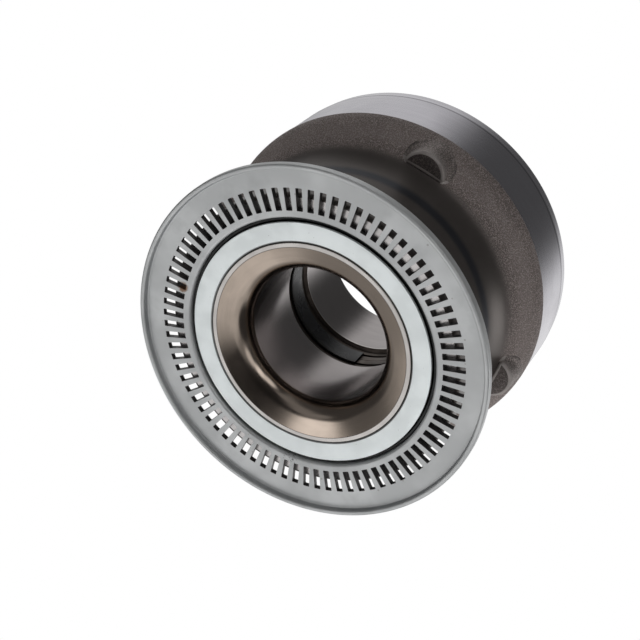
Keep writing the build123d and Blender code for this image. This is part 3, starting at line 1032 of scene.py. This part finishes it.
@dataclass
class OuterRing:
    """The forging with its turned hub seat, raceways and seal bores, and four lugs."""

    length: float = 101.0
    seat_radius: float = 75.0
    seat_length: float = 33.3
    lead_in_length: float = 5.3
    lead_in_drop: float = 0.5
    lead_in_end: float = 0.02
    shoulder_radius: float = 75.4
    lip_height: float = 0.8
    lip_drop: float = 0.05
    draft: float = 5.0
    shoulder_round: float = 14.3
    flare_angle: float = 40.0
    flare_fillet: float = 30.0
    neck_radius: float = 60.74
    collar_radius: float = 63.64
    collar_start: float = 78.42
    collar_end: float = 89.86
    collar_fillet: float = 18.0
    collar_round: float = 6.0
    seal_bore_radius: float = 56.84
    seal_bores: tuple[float, float] = (21.2, 81.0)
    bore_lead_in: float = 0.6
    bore_chamfer: float = 1.5
    collar_edge: float = 1.9
    race_foot: tuple[float, float] = (54.94, 78.79)
    foot_step: float = 1.0
    race_small: tuple[float, float] = (46.99, 53.7)
    middle: float = 51.1
    relief_depth: float = 0.5
    lug_count: int = 4
    lug: Lug = field(default_factory=Lug)
    steps: int = 360

    def forged_corners(self) -> list[Corner]:
        """The outside from the shoulder's edge to the collar, inboard of the hub seat.

        Returns:
            Its corners, from the seat on.
        """
        draft = math.radians(self.draft)
        flare = math.radians(self.flare_angle)
        base = self.seat_length + self.lip_height
        reach = self.shoulder_round * math.tan(0.5 * (flare - draft))
        crown = (self.shoulder_radius - reach * math.sin(draft), base + reach * math.cos(draft))
        drop = crown[0] - self.neck_radius
        root = (self.neck_radius, crown[1] + drop / math.tan(flare))
        rise = self.collar_radius - self.neck_radius
        half_bend = 0.5 * math.acos(1.0 - rise / (self.collar_fillet + self.collar_round))
        first = self.collar_start + self.collar_fillet * math.tan(half_bend)
        second = self.collar_end - self.collar_round * math.tan(half_bend)
        lip = self.shoulder_radius + self.lip_height * math.tan(draft) - self.lip_drop
        return [
            Corner(lip, self.seat_length, 0.25),
            Corner(self.shoulder_radius, base),
            Corner(*crown, self.shoulder_round),
            Corner(*root, self.flare_fillet),
            Corner(self.neck_radius, first, self.collar_fillet),
            Corner(self.collar_radius, second, self.collar_round),
            Corner(self.collar_radius, self.length, self.collar_edge),
        ]

    def skin_height(self, radius: float) -> float:
        """Height of the forging's skin between the shoulder and the neck.

        Args:
            radius: Distance from the axis.

        Returns:
            The height there.
        """
        outline = self.skin
        for low, high in zip(outline, outline[1:]):
            if high[0] <= radius <= low[0] and low[0] - high[0] > 1e-9:
                share = (low[0] - radius) / (low[0] - high[0])
                return low[1] + share * (high[1] - low[1])
        return outline[0][1] if radius > outline[0][0] else outline[-1][1]

    def section(self) -> list[Point]:
        """The whole closed section.

        Returns:
            Its points, as radius and height.
        """
        low, high = self.seal_bores
        foot_radius, foot_height = self.race_foot
        small_radius, small_height = self.race_small
        bore = self.seal_bore_radius
        relief = small_radius + self.relief_depth
        corners = [
            Corner(self.seat_radius - self.lead_in_drop, 0.0, 0.9),
            Corner(self.seat_radius - self.lead_in_end, self.lead_in_length, 2.0),
            Corner(self.seat_radius, self.seat_length),
            *self.forged_corners(),
            Corner(bore + self.bore_lead_in, self.length, 0.15),
            Corner(bore, self.length - self.bore_lead_in, 0.15),
            Corner(bore, high, 0.4),
            Corner(foot_radius, high, 0.3),
            Corner(foot_radius - self.foot_step, foot_height),
            Corner(small_radius, small_height),
            Corner(relief, small_height),
            Corner(relief, 2.0 * self.middle - small_height),
            Corner(small_radius, 2.0 * self.middle - small_height),
            Corner(foot_radius - self.foot_step, 2.0 * self.middle - foot_height),
            Corner(foot_radius, low, 0.3),
            Corner(bore, low, 0.4),
            Corner(bore, self.bore_chamfer, 0.3),
            Corner(bore + self.bore_chamfer, 0.0, 0.3),
        ]
        return rounded(corners, 3.0)

    def build(self, finishes: Finishes) -> None:
        """Models and dresses the outer ring.

        Args:
            finishes: The bearing's finishes.
        """
        outline = self.section()
        radii = [radius for radius, _ in outline]
        start = radii.index(max(radii))
        end = next(index for index in range(start, len(radii)) if radii[index] < self.neck_radius + 1e-3)
        self.skin = outline[start : end + 1]
        ring = turn("outer_ring_forging", outline, self.steps)
        lug = self.lug.model(self.skin_height)
        paint(ring, finishes.turned)
        paint(ring, finishes.forged, self.on_skin)
        paint(ring, finishes.shoulder, lambda at: at.z > self.length - 0.02)
        paint(ring, finishes.raceway, self.on_raceway)
        paint(lug, finishes.lug)
        join(ring, [round_copies(lug, self.lug_count)])
        smooth(ring)
        settle(ring, Body.OUTER, "outer_ring")

    def on_skin(self, at: Vector) -> bool:
        """Whether a face lies on the forged outside."""
        return at.z > self.seat_length + 0.1 and axis_distance(at) > self.neck_radius - 1.0

    def on_raceway(self, at: Vector) -> bool:
        """Whether a face lies on one of the two raceways."""
        radius, height = self.race_foot
        return abs(at.z - self.middle) < height - self.middle + 0.1 and axis_distance(at) < radius + 0.5


# The speed ring


@dataclass
class SpeedRing:
    """Pressed ring with 80 slots and a raised lip, seated in the inboard end."""

    back: float = 101.0
    sheet: float = 2.5
    seat_radius: float = 56.84
    collar_length: float = 7.0
    rim_radius: float = 77.0
    lip_height: float = 2.5
    lip_thickness: float = 2.1
    rim_bend: float = 2.0
    teeth: int = 80
    slot_width: float = 2.7
    slot_inner: float = 57.44
    slot_length: float = 9.4
    slot_round: float = 0.25
    edge: float = 0.14
    steps: int = 320

    def section(self) -> list[Point]:
        """The closed section, with the bends of the pressing.

        Returns:
            Its points, as radius and height.
        """
        front = self.back + self.sheet
        inner = self.seat_radius - self.sheet
        lip = self.rim_radius - self.lip_thickness
        top = front + self.lip_height
        corners = [
            Corner(self.seat_radius, self.back - 0.001, 0.25),
            Corner(self.seat_radius, self.back - self.collar_length, 0.3),
            Corner(inner, self.back - self.collar_length, 0.3),
            Corner(inner, front, 1.3),
            Corner(lip, front, 0.8),
            Corner(lip, top, 0.75),
            Corner(self.rim_radius, top, 0.9),
            Corner(self.rim_radius, self.back, self.rim_bend),
        ]
        return rounded(corners, 15.0)

    def slot_cutters(self) -> Piece:
        """A ring of blocks with rounded corners, one for each slot.

        Returns:
            The blocks as one object.
        """
        clear_selection()
        middle = self.slot_inner + 0.5 * self.slot_length
        place = (middle * MM, 0.0, (self.back + 0.5 * self.sheet) * MM)
        bpy.ops.mesh.primitive_cube_add(size=MM, location=(0.0, 0.0, 0.0))
        block = bpy.context.active_object
        block.name = block.data.name = "slot_cutter"
        bpy.ops.object.mode_set(mode="EDIT")
        bpy.ops.mesh.select_all(action="SELECT")
        bpy.ops.transform.resize(value=(self.slot_length, self.slot_width, 3.0 * self.sheet))
        bpy.ops.transform.translate(value=place)
        bpy.ops.object.mode_set(mode="OBJECT")
        for edge in block.data.edges:
            low, high = (block.data.vertices[index].co for index in edge.vertices)
            edge.select = abs(high.z - low.z) > self.sheet * MM
        bpy.ops.object.mode_set(mode="EDIT")
        bpy.ops.mesh.select_mode(type="EDGE")
        bpy.ops.mesh.bevel(offset=self.slot_round * MM, segments=2)
        bpy.ops.object.mode_set(mode="OBJECT")
        return round_copies(block, self.teeth)

    def on_slot_wall(self, at: Vector) -> bool:
        """Whether a face lies on the sheared wall of a slot."""
        between = self.slot_inner - 0.1 < axis_distance(at) < self.slot_inner + self.slot_length + 0.1
        return between and self.edge < at.z - self.back < self.sheet - self.edge

    def build(self, finishes: Finishes) -> None:
        """Models and dresses the speed ring.

        Args:
            finishes: The bearing's finishes.
        """
        ring = turn("speed_ring_sheet", self.section(), self.steps)
        cutters = self.slot_cutters()
        apply_modifier(ring, "BOOLEAN", operation="DIFFERENCE", object=cutters, solver="EXACT")
        bpy.data.objects.remove(cutters)
        apply_modifier(
            ring, "BEVEL", width=self.edge * MM, segments=2, limit_method="ANGLE",
            angle_limit=math.radians(50.0),
        )
        smooth(ring, 40.0)
        apply_modifier(ring, "WEIGHTED_NORMAL", keep_sharp=True, weight=60)
        paint(ring, finishes.zinc)
        # The slot walls take the dark sheared finish, darkened partly as painted shade.
        paint(ring, finishes.sheared, self.on_slot_wall)
        settle(ring, Body.OUTER, "speed_ring")


# The inner rings


@dataclass
class InnerRings:
    """The two inner rings and the split clip that holds them together."""

    bore_radius: float = 30.0
    middle: float = 51.1
    inboard_face: float = 103.0
    outboard_face: float = 10.1
    rib_radius: float = 43.97
    mouth_length: float = 11.0
    mouth_round: float = 9.5
    face_edge_radius: float = 41.97
    nut_chamfer: float = 3.0
    land_radius: float = 31.5
    hook_radius: float = 32.75
    hook_edges: tuple[float, float] = (3.35, 5.05)
    recess_edges: tuple[float, float] = (8.3, 9.1)
    race_points: tuple[Point, ...] = (
        (43.97, 28.229), (39.43, 29.319), (39.23, 28.338), (39.57, 28.257), (35.25, 7.072), (37.05, 6.672),
    )
    clip_inner: float = 30.5
    clip_outer: float = 31.35
    clip_hook: float = 32.6
    clip_half_width: float = 4.9
    clip_hook_width: float = 1.4
    clip_gap: float = 30.0
    clip_gap_centre: float = -52.4
    raceway_radii: tuple[float, float] = (35.0, 39.6)
    raceway_heights: tuple[float, float] = (6.0, 28.4)
    steps: int = 288
    clip_steps: int = 200

    def joint_side(self, side: Side) -> list[Corner]:
        """The bore side from the joint to the end of the clip's recess.

        Args:
            side: Which of the two rings.

        Returns:
            Its corners, from the joint on.
        """
        inner_hook, outer_hook = self.hook_edges
        land_end, bore_start = self.recess_edges
        steps = [
            Corner(self.land_radius, 0.0, 0.25),
            Corner(self.land_radius, inner_hook),
            Corner(self.hook_radius, inner_hook, 0.2),
            Corner(self.hook_radius, outer_hook, 0.2),
            Corner(self.land_radius, outer_hook, 0.15),
            Corner(self.land_radius, land_end),
            Corner(self.bore_radius, bore_start, 0.2),
        ]
        return lifted(steps, self.middle, side.value)

    def outside(self, side: Side, face: float) -> list[Corner]:
        """The outside from the end face over the rib and the raceway to the joint.

        Args:
            side: Which of the two rings.
            face: Height of its end face.

        Returns:
            Its corners, from the end face on.
        """
        top, *race, small_rib = self.race_points
        steps = [Corner(*top, 0.3), *(Corner(*point) for point in race), Corner(*small_rib, 0.3)]
        joint = Corner(small_rib[0], self.middle, 0.4)
        return [Corner(self.rib_radius, face, 0.4), *lifted(steps, self.middle, side.value), joint]

    def inboard_section(self) -> list[Point]:
        """The inboard ring's section, with its flared mouth.

        Returns:
            Its points, as radius and height.
        """
        throat = self.inboard_face - self.mouth_length
        spread = self.face_edge_radius - self.bore_radius - self.mouth_round
        lean = math.atan2(self.mouth_length, spread)
        reach = math.acos(self.mouth_round / math.hypot(spread, self.mouth_length))
        half_bend = 0.5 * (math.pi - lean - reach)
        lip = Corner(self.bore_radius, throat + self.mouth_round * math.tan(half_bend), self.mouth_round)
        edge = Corner(self.face_edge_radius, self.inboard_face, 0.25)
        joint = list(reversed(self.joint_side(Side.INBOARD)))
        outside = self.outside(Side.INBOARD, self.inboard_face)
        return rounded([edge, lip, *joint, *reversed(outside)], 5.0)

    def outboard_section(self) -> list[Point]:
        """The outboard ring's section, with its plain chamfer.

        Returns:
            Its points, as radius and height.
        """
        face = self.outboard_face
        outside = self.outside(Side.OUTBOARD, face)
        bore = [
            Corner(self.bore_radius, face + self.nut_chamfer, 0.3),
            Corner(self.bore_radius + self.nut_chamfer, face, 0.3),
        ]
        return rounded([*outside, *self.joint_side(Side.OUTBOARD), *bore], 8.0)

    def clip_section(self) -> list[Point]:
        """The clip's section: a flat band with a hook at each edge.

        Returns:
            Its points, as radius and height.
        """
        hook = self.clip_half_width - self.clip_hook_width
        half = [
            Corner(self.clip_inner, self.clip_half_width, 0.25),
            Corner(self.clip_hook, self.clip_half_width, 0.5),
            Corner(self.clip_hook, hook, 0.15),
            Corner(self.clip_outer, hook, 0.15),
        ]
        upper, lower = (lifted(half, self.middle, side.value) for side in Side)
        return rounded([*upper, *reversed(lower)], 20.0)

    def dress(self, ring: Piece, finishes: Finishes, face: float) -> None:
        """Paints a ring: bronze all over, with a ground bore, end face and raceway.

        Args:
            ring: The inner ring.
            finishes: The bearing's finishes.
            face: Height of its end face.
        """
        edge = self.face_edge_radius - 0.2
        paint(ring, finishes.bronze)
        paint(ring, finishes.bore, lambda at: axis_distance(at) < self.bore_radius + 0.03)
        paint(ring, finishes.end_face, lambda at: abs(at.z - face) < 0.15 and axis_distance(at) > edge)
        paint(ring, finishes.raceway, self.on_raceway)
        # The clip's recess takes the dark recess finish, which is painted shade.
        paint(ring, finishes.recess, self.in_recess)

    def in_recess(self, at: Vector) -> bool:
        """Whether a face lies in the clip's recess."""
        inside = self.bore_radius + 0.1 < axis_distance(at) < self.hook_radius + 0.75
        return inside and abs(at.z - self.middle) < self.recess_edges[1] - 0.05

    def on_raceway(self, at: Vector) -> bool:
        """Whether a face lies between the two ribs, on the outside."""
        (inner, outer), (near, far) = self.raceway_radii, self.raceway_heights
        return inner < axis_distance(at) < outer and near < abs(at.z - self.middle) < far

    def build(self, finishes: Finishes) -> None:
        """Models and dresses both rings and the clip.

        Args:
            finishes: The bearing's finishes.
        """
        for name, section, face, side in (
            ("inner_ring_mouth_side", self.inboard_section(), self.inboard_face, Side.INBOARD),
            ("inner_ring_nut_side", self.outboard_section(), self.outboard_face, Side.OUTBOARD),
        ):
            ring = turn(name, section, self.steps)
            self.dress(ring, finishes, face)
            smooth(ring)
            settle(ring, Body.INNER, f"inner_ring_{side.label}")
        clip = turn("joint_clip", self.clip_section(), self.clip_steps, 360.0 - self.clip_gap)
        first = math.radians(self.clip_gap_centre - 0.5 * self.clip_gap)
        clip.data.transform(Matrix.Rotation(first, 4, "Z"))
        paint(clip, finishes.plastic)
        smooth(clip)
        settle(clip, Body.INNER, "inner_ring_clip")


# The seals


@dataclass
class Seal:
    """One end's flinger and moulded rubber, drawn by their depth behind the end face.

    The pressed case behind them keeps its solid.
    """

    side: Side
    face: float
    case_front: float
    rib_radius: float = 43.97
    sheet: float = 1.2
    flinger_radius: float = 52.5
    flinger_length: float = 11.4
    case_inner: float = 48.57
    rim_outer: float = 54.14
    rim_inner: float = 52.94
    rubber_base: float = 1.1
    lip_wall: float = 1.2
    lip_gap: float = 0.3
    lip_root: float = 0.25
    face_lip_place: float = 1.8
    face_lip_lean: float = 0.7
    shaft_lip_depths: tuple[float, float] = (3.9, 3.2)
    steps: int = 256

    def flinger_section(self) -> list[Point]:
        """Angle ring: a sleeve on the rib and a flange flush with the end face.

        Returns:
            Its points, as radius and height.
        """
        sleeve = self.rib_radius + self.sheet
        corners = [
            Corner(self.rib_radius, 0.0, 1.1),
            Corner(self.flinger_radius, 0.0, 0.2),
            Corner(self.flinger_radius, self.sheet, 0.2),
            Corner(sleeve, self.sheet, 0.3),
            Corner(sleeve, self.flinger_length, 0.2),
            Corner(self.rib_radius, self.flinger_length, 0.2),
        ]
        return rounded(lifted(corners, self.face, -self.side.value), 18.0)

    def rubber_section(self) -> list[Point]:
        """Rim beside the flinger, face lip and shaft lip.

        Returns:
            Its points, as radius and height.
        """
        base = self.case_front - self.rubber_base
        tip = self.sheet + self.lip_gap
        root = self.case_inner + self.face_lip_place
        sleeve = self.rib_radius + self.sheet + self.lip_gap
        corners = [
            Corner(self.case_inner, self.case_front),
            Corner(self.rim_outer, self.case_front),
            Corner(self.rim_outer, tip, 0.4),
            Corner(self.rim_inner, tip, 0.4),
            Corner(self.rim_inner, base, 0.5),
            Corner(root + self.lip_wall, base, 0.4),
            Corner(root + self.lip_wall + self.face_lip_lean, tip, 0.1),
            Corner(root + self.lip_wall, tip, 0.1),
            Corner(root, base, 0.4),
            Corner(self.case_inner - self.lip_root, base),
            *(Corner(sleeve, base - depth, 0.1) for depth in self.shaft_lip_depths),
            Corner(self.case_inner - self.lip_wall, self.case_front),
            Corner(self.case_inner - self.lip_wall, self.case_front + self.sheet, 0.3),
            Corner(self.case_inner, self.case_front + self.sheet),
        ]
        return rounded(lifted(corners, self.face, -self.side.value), 20.0)

    def build(self, finishes: Finishes) -> None:
        """Models and dresses the flinger and the rubber.

        Args:
            finishes: The bearing's finishes.
        """
        end = self.side.label
        for name, section, finish, body, slot, node in (
            ("flinger", self.flinger_section(), finishes.flinger, Body.INNER, Slot.FLINGER, "seal_flinger"),
            ("rubber", self.rubber_section(), finishes.rubber, Body.OUTER, Slot.RUBBER, "seal_lip"),
        ):
            piece = turn(f"{name}_{end}", section, self.steps)
            paint(piece, finish)
            smooth(piece)
            settle(piece, body, f"{node}_{end}")


# Pieces that keep their solids


@dataclass
class RollingParts:
    """Rollers, cages and seal cases, which keep the solids of the frame."""

    nodes: dict[str, Piece]

    def build(self, finishes: Finishes) -> None:
        """Gives each kept solid its finish.

        Args:
            finishes: The bearing's finishes.
        """
        kinds = (("roller_", finishes.roller), ("cage_", finishes.cage), ("seal_case_", finishes.case))
        for start, material in kinds:
            matching = [node for name, node in sorted(self.nodes.items()) if name.startswith(start)]
            for node in matching:
                node.data.materials.clear()
                node.data.materials.append(material)
            log.info("%s: %d solids kept, finish %s", start, len(matching), material.name)


# The studio


@dataclass(frozen=True)
class Glow:
    """One soft area of the studio, seen in the metal."""

    towards: Triple
    reach: float
    fade: float
    level: float


@dataclass
class Studio:
    """Floor, soft light and the camera at the photograph's angle."""

    eye: Triple = (0.09857, 0.34135, 0.57461)
    right: Triple = (0.82881, 0.36251, -0.42621)
    above: Triple = (-0.53313, 0.74288, -0.40485)
    back: Triple = (0.16985, 0.56277, 0.80898)
    lens: float = 82.93
    ground: float = 0.34
    aim: Triple = (0.0, 0.0, 0.06)
    floor_size: float = 6.0
    floor_drop: float = 0.0005
    floor_tone: float = 0.9
    glows: tuple[Glow, ...] = (
        Glow((0.95, -0.08, -0.3), 14.0, 12.0, 1.0),
        Glow((-0.5, 0.25, -0.83), 26.0, 20.0, 0.66),
        Glow((-0.72, 0.69, 0.0), 24.0, 14.0, 0.1),
        Glow((0.35, 0.45, -0.82), 20.0, 20.0, 0.075),
        Glow((0.5, 0.85, 0.0), 34.0, 16.0, 0.06),
        Glow((0.85, -0.45, -0.27), 16.0, 14.0, 1.05),
        Glow((0.3, -0.55, -0.78), 16.0, 17.0, 0.9),
        Glow((0.08, -0.6, 0.8), 33.0, 16.0, 0.97),
        Glow((0.7, -0.42, 0.56), 16.0, 14.0, 0.9),
        Glow((0.95, -0.1, 0.26), 19.0, 9.0, 0.05),
        Glow((-0.25, -0.93, 0.27), 10.0, 12.0, 0.4),
        Glow((-0.95, -0.05, 0.3), 28.0, 20.0, 0.08),
        Glow((-0.6, -0.34, 0.73), 7.0, 9.0, 0.18),
        Glow((0.15, 0.48, 0.86), 18.0, 10.0, 0.03),
        Glow((0.12, 0.08, 0.99), 19.0, 7.0, 0.02),
        Glow((-0.06, 0.16, 0.98), 17.0, 7.0, 0.02),
        Glow((0.69, 0.45, 0.56), 6.0, 7.0, 1.3),
        Glow((0.5, 0.72, 0.47), 6.0, 7.0, 1.8),
        Glow((0.28, 0.87, 0.38), 6.0, 7.0, 1.3),
        Glow((-0.4, -0.07, 0.91), 4.0, 9.0, 1.9),
        Glow((-0.65, 0.29, 0.7), 4.0, 7.0, 0.4),
    )

    def camera(self) -> None:
        """Sets up the camera."""
        data = bpy.data.cameras.new("camera")
        data.lens = self.lens
        data.sensor_width = 36.0
        data.clip_start = 0.01
        camera = bpy.data.objects.new("camera", data)
        columns = [Vector(axis).normalized() for axis in (self.right, self.above, self.back)]
        camera.matrix_world = Matrix.Translation(self.eye) @ Matrix(columns).transposed().to_4x4()
        bpy.context.scene.collection.objects.link(camera)
        bpy.context.scene.camera = camera

    def lamp(self, name: str, towards: Triple, size: float, power: float) -> None:
        """Adds one square soft lamp, a metre away, that faces the object.

        Args:
            name: The lamp's name.
            towards: The direction from the object to the lamp.
            size: Its width in metres.
            power: Its power in watts.
        """
        middle = Vector(self.aim)
        place = middle + Vector(towards).normalized()
        data = bpy.data.lights.new(name, "AREA")
        data.size = size
        data.energy = power
        lamp = bpy.data.objects.new(name, data)
        facing = (place - middle).to_track_quat("Z", "Y").to_matrix().to_4x4()
        lamp.matrix_world = Matrix.Translation(place) @ facing
        bpy.context.scene.collection.objects.link(lamp)

    def world(self) -> None:
        """White to the camera, and soft areas of light and dark to everything else."""
        world = bpy.data.worlds.new("studio")
        world.use_nodes = True
        bpy.context.scene.world = world
        wiring = Wiring(world.node_tree)
        background = world.node_tree.nodes["Background"]
        heading = wiring.add("ShaderNodeTexCoord").outputs["Generated"]
        level: object = self.ground
        for glow in self.glows:
            towards = Vector(glow.towards).normalized()
            dot = wiring.add("ShaderNodeVectorMath", heading, towards, operation="DOT_PRODUCT")
            inner, outer = (math.cos(math.radians(angle)) for angle in (glow.reach, glow.reach + glow.fade))
            level = wiring.level(wiring.spread(dot.outputs["Value"], outer, inner), level, glow.level)
        seen = wiring.add("ShaderNodeLightPath").outputs["Is Camera Ray"]
        wiring.feed(background.inputs["Color"], (1.0, 1.0, 1.0))
        wiring.feed(background.inputs["Strength"], wiring.level(seen, level, 1.0))

    def floor(self) -> None:
        """A wide pale floor under the outboard end, plain white to the camera."""
        clear_selection()
        bpy.ops.mesh.primitive_plane_add(size=self.floor_size, location=(0.0, 0.0, 0.0))
        floor = bpy.context.active_object
        floor.name = floor.data.name = "floor"
        floor.data.transform(Matrix.Translation((0.0, 0.0, -self.floor_drop)))
        material = bpy.data.materials.new("pale floor")
        material.use_nodes = True
        wiring = Wiring(material.node_tree)
        out = material.node_tree.nodes["Material Output"]
        shader = material.node_tree.nodes["Principled BSDF"]
        wiring.feed(shader.inputs["Base Color"], (self.floor_tone,) * 3)
        wiring.feed(shader.inputs["Roughness"], 0.9)
        light = wiring.add("ShaderNodeEmission").outputs[0]
        clear = wiring.add("ShaderNodeBsdfTransparent").outputs[0]
        rays = wiring.add("ShaderNodeLightPath").outputs
        plain = wiring.add("ShaderNodeMixShader", rays["Is Camera Ray"], shader.outputs[0], light)
        whole = wiring.add("ShaderNodeMixShader", rays["Is Glossy Ray"], plain.outputs[0], clear)
        wiring.feed(out.inputs["Surface"], whole.outputs[0])
        floor.data.materials.append(material)

    def build(self) -> None:
        """Sets up the floor, the light and the camera."""
        bpy.context.scene.view_settings.view_transform = "Standard"
        self.camera()
        self.world()
        self.floor()
        self.lamp("key", (0.3, -0.7, 0.64), 0.6, 0.22)
        self.lamp("fill", (0.93, 0.02, -0.36), 0.4, 0.8)
        log.info("studio: camera lens %.2f mm, %d soft areas", self.lens, len(self.glows))


def main() -> None:
    """Builds every piece round the frame."""
    logging.basicConfig(level=logging.INFO, format="%(message)s")
    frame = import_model()
    finishes = Finishes(Patterns())
    Studio().build()
    OuterRing().build(finishes)
    SpeedRing().build(finishes)
    InnerRings().build(finishes)
    Seal(Side.INBOARD, face=103.0, case_front=9.2).build(finishes)
    Seal(Side.OUTBOARD, face=10.1, case_front=9.71).build(finishes)
    RollingParts(frame["nodes"]).build(finishes)
    clear_selection()


if __name__ == "__main__":
    main()
